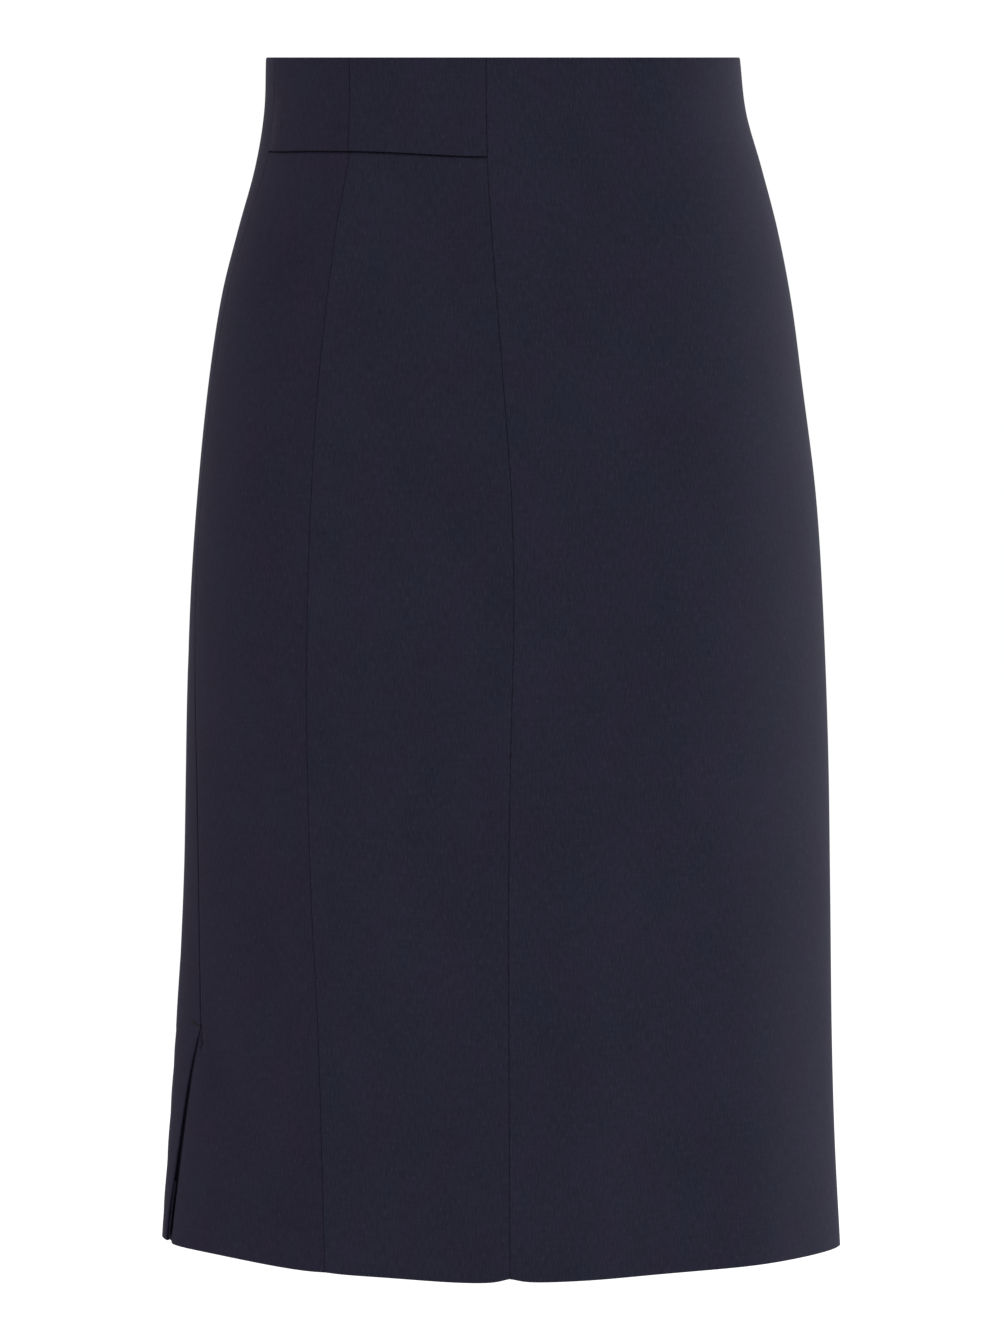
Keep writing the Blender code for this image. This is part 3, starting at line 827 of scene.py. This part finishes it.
# ---------------------------------------------------------------- materials
def new_material(name):
    """A material, its shader, and short calls for adding nodes and wiring them up."""
    made = bpy.data.materials.new(name)
    made.use_nodes = True
    tree = made.node_tree

    def node(kind, **settings):
        made = tree.nodes.new(kind)
        for key, value in settings.items():
            setattr(made, key, value)
        return made

    def link(source, target):
        tree.links.new(source, target)

    def math_node(operation, a, b=None, clamp=False):
        made = node("ShaderNodeMath", operation=operation, use_clamp=clamp)
        for socket, value in zip(made.inputs, (a, b)):
            if value is None:
                continue
            if isinstance(value, (int, float)):
                socket.default_value = value
            else:
                link(value, socket)
        return made.outputs[0]

    return made, tree.nodes["Principled BSDF"], node, link, math_node


# Noise drawn out along the cloth: one blob's width and length, its octaves and its place.
Streaks = namedtuple("Streaks", "across down detail shift")
WARP = Streaks(0.0009, 0.0060, 2.0, 3.1)
WEFT = Streaks(0.0080, 0.0009, 2.0, 8.7)
BROAD = Streaks(0.045, 0.070, 3.0, 5.3)
FLECKS = Streaks(0.0006, 0.0040, 0.0, 11.9)
HUE = Streaks(0.024, 0.036, 4.0, 17.3)
VIOLET = (1.07, 0.97, 1.00, 1.0)    # the two tints that the dye drifts between
BLUE = (0.93, 1.03, 1.00, 1.0)


def noise_over(node, link, places, kind, shift):
    spread = node("ShaderNodeMapping")
    spread.inputs["Scale"].default_value = (1.0 / kind.across, 1.0 / kind.down, 1.0)
    start = kind.shift + shift
    spread.inputs["Location"].default_value = (start, 0.7 * start, start)
    link(places, spread.inputs["Vector"])
    noise = node("ShaderNodeTexNoise", noise_dimensions="2D")
    noise.inputs["Scale"].default_value = 1.0
    noise.inputs["Detail"].default_value = kind.detail
    noise.inputs["Roughness"].default_value = 0.55
    link(spread.outputs["Vector"], noise.inputs["Vector"])
    return noise.outputs["Fac"]


def blend(node, link, factor, low, high):
    """A colour between two others, by a factor."""
    mix = node("ShaderNodeMix", data_type="RGBA")
    link(factor, mix.inputs["Factor"])
    mix.inputs["A"].default_value = low
    mix.inputs["B"].default_value = high
    return mix.outputs["Result"]


def scaled(colour, share):
    return (*(share * c for c in colour), 1.0)


def grain_over(node, link, scale, detail):
    """Even noise over an object."""
    place = node("ShaderNodeTexCoord")
    grain = node("ShaderNodeTexNoise")
    grain.inputs["Scale"].default_value = scale
    grain.inputs["Detail"].default_value = detail
    link(place.outputs["Object"], grain.inputs["Vector"])
    return grain.outputs["Fac"]


def bumps(node, link, shader, height, strength, distance):
    bump = node("ShaderNodeBump")
    bump.inputs["Strength"].default_value = strength
    bump.inputs["Distance"].default_value = distance
    link(height, bump.inputs["Height"])
    link(bump.outputs["Normal"], shader.inputs["Normal"])


def wool(name, colour, shift):
    """Fine plain-woven wool: slubbed warp and weft, a dry face and a trace of bloom."""
    made, shader, node, link, math_node = new_material(name)
    places = node("ShaderNodeAttribute", attribute_name="cloth").outputs["Vector"]

    warp, weft, broad, flecks, hue = (
        noise_over(node, link, places, kind, shift) for kind in (WARP, WEFT, BROAD, FLECKS, HUE))
    flecks = math_node("MULTIPLY", math_node("SUBTRACT", flecks, 0.66), 6.0, clamp=True)
    slubs = math_node("MULTIPLY", math_node("SUBTRACT", warp, 0.62), 6.0, clamp=True)
    weft_slubs = math_node("MULTIPLY", math_node("SUBTRACT", weft, 0.66), 6.0, clamp=True)
    tone = math_node("MULTIPLY", math_node("SUBTRACT", warp, 0.5), 1.0)
    tone = math_node("ADD", tone, math_node("MULTIPLY", math_node("SUBTRACT", weft, 0.5), 0.4))
    tone = math_node("ADD", tone, math_node("MULTIPLY", math_node("SUBTRACT", broad, 0.5), 0.35))
    tone = math_node("SUBTRACT", tone, math_node("MULTIPLY", slubs, 0.16))
    tone = math_node("SUBTRACT", tone, math_node("MULTIPLY", weft_slubs, 0.10))
    tone = math_node("ADD", tone, math_node("MULTIPLY", flecks, 0.45))
    tone = math_node("ADD", tone, 0.5, clamp=True)
    hue = math_node("MULTIPLY", math_node("SUBTRACT", hue, 0.5), 2.4)
    hue = math_node("ADD", hue, 0.5, clamp=True)
    dyed = node("ShaderNodeMix", data_type="RGBA", blend_type="MULTIPLY")
    dyed.inputs["Factor"].default_value = 1.0
    link(blend(node, link, tone, scaled(colour, 0.66), scaled(colour, 1.34)), dyed.inputs["A"])
    link(blend(node, link, hue, VIOLET, BLUE), dyed.inputs["B"])
    link(dyed.outputs["Result"], shader.inputs["Base Color"])

    # The weave: rounded threads over and under each other, with the slubs standing proud.
    split = node("ShaderNodeSeparateXYZ")
    link(places, split.inputs[0])
    pitch = 2.0 * math.pi / WEAVE_PITCH
    warp_threads = math_node("SINE", math_node("MULTIPLY", split.outputs["X"], pitch))
    weft_threads = math_node("SINE", math_node("MULTIPLY", split.outputs["Y"], pitch))
    weave = math_node("MULTIPLY", warp_threads, weft_threads)
    height = math_node("ADD", math_node("MULTIPLY", weave, 0.22), math_node("MULTIPLY", warp, 0.9))
    height = math_node("ADD", height, math_node("MULTIPLY", weft, 0.5))
    bumps(node, link, shader, height, 0.35, 0.00015)

    rough = math_node("ADD", math_node("MULTIPLY", warp, 0.12), 0.80, clamp=True)
    link(rough, shader.inputs["Roughness"])
    shader.inputs["Specular IOR Level"].default_value = 0.05
    shader.inputs["Sheen Weight"].default_value = 0.03
    shader.inputs["Sheen Roughness"].default_value = 0.35
    shader.inputs["Sheen Tint"].default_value = (0.80, 0.78, 0.90, 1.0)
    return made


def plain_cloth(name, colour, roughness):
    """Thread or tape: one dyed colour with a fine, uneven grain."""
    made, shader, node, link, math_node = new_material(name)
    grain = grain_over(node, link, 1600.0, 2.0)
    tone = blend(node, link, grain, scaled(colour, 0.6), scaled(colour, 1.4))
    link(tone, shader.inputs["Base Color"])
    bumps(node, link, shader, grain, 0.4, 0.0002)
    rough = math_node("ADD", math_node("MULTIPLY", grain, 0.15), roughness, clamp=True)
    link(rough, shader.inputs["Roughness"])
    shader.inputs["Specular IOR Level"].default_value = 0.25
    return made


def enamel():
    """Satin navy enamel over die-cast metal, tinted to match the cloth."""
    made, shader, node, link, math_node = new_material("zip_enamel_finish")
    grain = grain_over(node, link, 900.0, 3.0)
    tone = blend(node, link, grain, (0.010, 0.010, 0.018, 1.0), (0.022, 0.022, 0.036, 1.0))
    link(tone, shader.inputs["Base Color"])
    rough = math_node("ADD", math_node("MULTIPLY", grain, 0.2), 0.38)
    link(rough, shader.inputs["Roughness"])
    shader.inputs["Specular IOR Level"].default_value = 0.3
    return made


def studio_white():
    made = bpy.data.materials.new("studio_white")
    made.use_nodes = True
    shader = made.node_tree.nodes["Principled BSDF"]
    shader.inputs["Base Color"].default_value = (0.98, 0.98, 0.98, 1.0)
    shader.inputs["Roughness"].default_value = 0.9
    shader.inputs["Specular IOR Level"].default_value = 0.0
    return made


# ---------------------------------------------------------------- the skirt's cloth
def build_cloth():
    plain = wool("wool_plain", (0.0163, 0.0156, 0.0288), 0.0)
    middle = wool("wool_middle", (0.0159, 0.0151, 0.0279), 2.3)
    side = wool("wool_side", (0.0159, 0.0140, 0.0268), 4.4)

    made = shell("front_left", front_seam, left_side_seam, waist_edge, hem_edge,
                 SEAM, SEAM, WAIST, HEM, flush)
    cloth_piece(made, "front_left_panel", plain)

    made = shell("front_middle", princess_seam, front_seam, behind_yoke, hem_edge,
                 SEAM, SEAM, BEHIND_YOKE, HEM, behind_yoke_lift)
    cloth_piece(made, "front_middle_panel", middle)

    made = shell("front_side", lap_edge, princess_seam, behind_yoke, hem_edge,
                 RAW, SEAM, BEHIND_YOKE, HEM, side_front_lift, (vent_edge, 0.20, LAP_COLUMNS))
    cloth_piece(made, "front_side_panel", side)

    made = shell("yoke_side_cloth", right_side_seam, princess_seam, waist_edge, yoke_edge,
                 SIDE_SEAM, SEAM, WAIST, YOKE_HEM, yoke_lift)
    cloth_piece(made, "yoke_side", side)

    made = shell("yoke_front_cloth", princess_seam, front_seam, waist_edge, yoke_edge,
                 SEAM, SEAM, WAIST, YOKE_HEM, yoke_lift)
    cloth_piece(made, "yoke_front", middle)

    made = shell("back_left", left_side_seam, back_seam, waist_edge, back_hem_edge,
                 SEAM, SEAM, WAIST, HEM, back_left_lift, (left_dart, 0.60, DART_COLUMNS))
    cloth_piece(made, "back_left_panel", side)

    made = shell("back_right", back_seam, vent_edge, waist_edge, back_hem_edge,
                 SEAM, SIDE_SEAM, WAIST, HEM, back_right_lift, (right_dart, 0.33, DART_COLUMNS))
    cloth_piece(made, "back_right_panel", side)


# ---------------------------------------------------------------- the studio
CAMERA_DISTANCE = 3.65
CAMERA_TILT = 5.30          # degrees down from level
LENS = 177.4                # millimetres, on a sensor 36 high
FLOOR_REACH = 900.0         # far enough that its edge can't be told from the white behind it
FLOOR_BELOW = 0.34


def build_camera():
    camera = bpy.data.cameras.new("camera")
    camera.lens = LENS
    camera.sensor_width = 36.0
    camera.clip_end = 3000.0
    made = bpy.data.objects.new("camera", camera)
    made.location = (0.0, -CAMERA_DISTANCE, 0.0)
    made.rotation_euler = (math.radians(90.0 - CAMERA_TILT), 0.0, 0.0)
    bpy.context.collection.objects.link(made)
    bpy.context.scene.camera = made


def area_light(name, place, aim, size, power):
    light = bpy.data.lights.new(name, "AREA")
    light.shape = "RECTANGLE"
    light.size, light.size_y = size
    light.energy = power
    made = bpy.data.objects.new(name, light)
    made.location = place
    made.rotation_euler = (Vector(aim) - Vector(place)).to_track_quat("-Z", "Y").to_euler()
    bpy.context.collection.objects.link(made)


def build_studio():
    world = bpy.data.worlds.new("studio")
    world.use_nodes = True
    sky = world.node_tree.nodes["Background"]
    sky.inputs["Color"].default_value = (1.0, 1.0, 1.0, 1.0)
    sky.inputs["Strength"].default_value = 1.04
    bpy.context.scene.world = world
    bpy.context.scene.view_settings.view_transform = "Standard"

    mesh = bpy.data.meshes.new("floor")
    level = CAD_BOX[0][2] - FLOOR_BELOW
    corners = [(FLOOR_REACH * x, FLOOR_REACH * y, level)
               for x, y in ((-1, -1), (1, -1), (1, 1), (-1, 1))]
    mesh.from_pydata(corners, [], [(0, 1, 2, 3)])
    mesh.materials.append(studio_white())
    floor = bpy.data.objects.new("floor", mesh)
    bpy.context.collection.objects.link(floor)

    area_light("side", (2.75, 1.35, -0.05), (0.0, 0.0, -0.36), (1.2, 1.6), 65.0)


# ---------------------------------------------------------------- build
build_camera()
build_cloth()
tape_weave = plain_cloth("tape_weave", (0.015, 0.014, 0.024), 0.7)
# The tack's thread colour is partly painted shade: it is real dark navy thread, but set darker than
# the cloth so that the stitched bar also carries the shade of the dent the tack pulls in.
vent_tack(plain_cloth("tack_thread_and_painted_shade", (0.006, 0.006, 0.010), 0.6))
zip_tapes(tape_weave)
zip_teeth(plain_cloth("nylon_coil", (0.013, 0.013, 0.022), 0.35))
zip_metal = enamel()
slider(zip_metal)
pull(zip_metal)
build_studio()
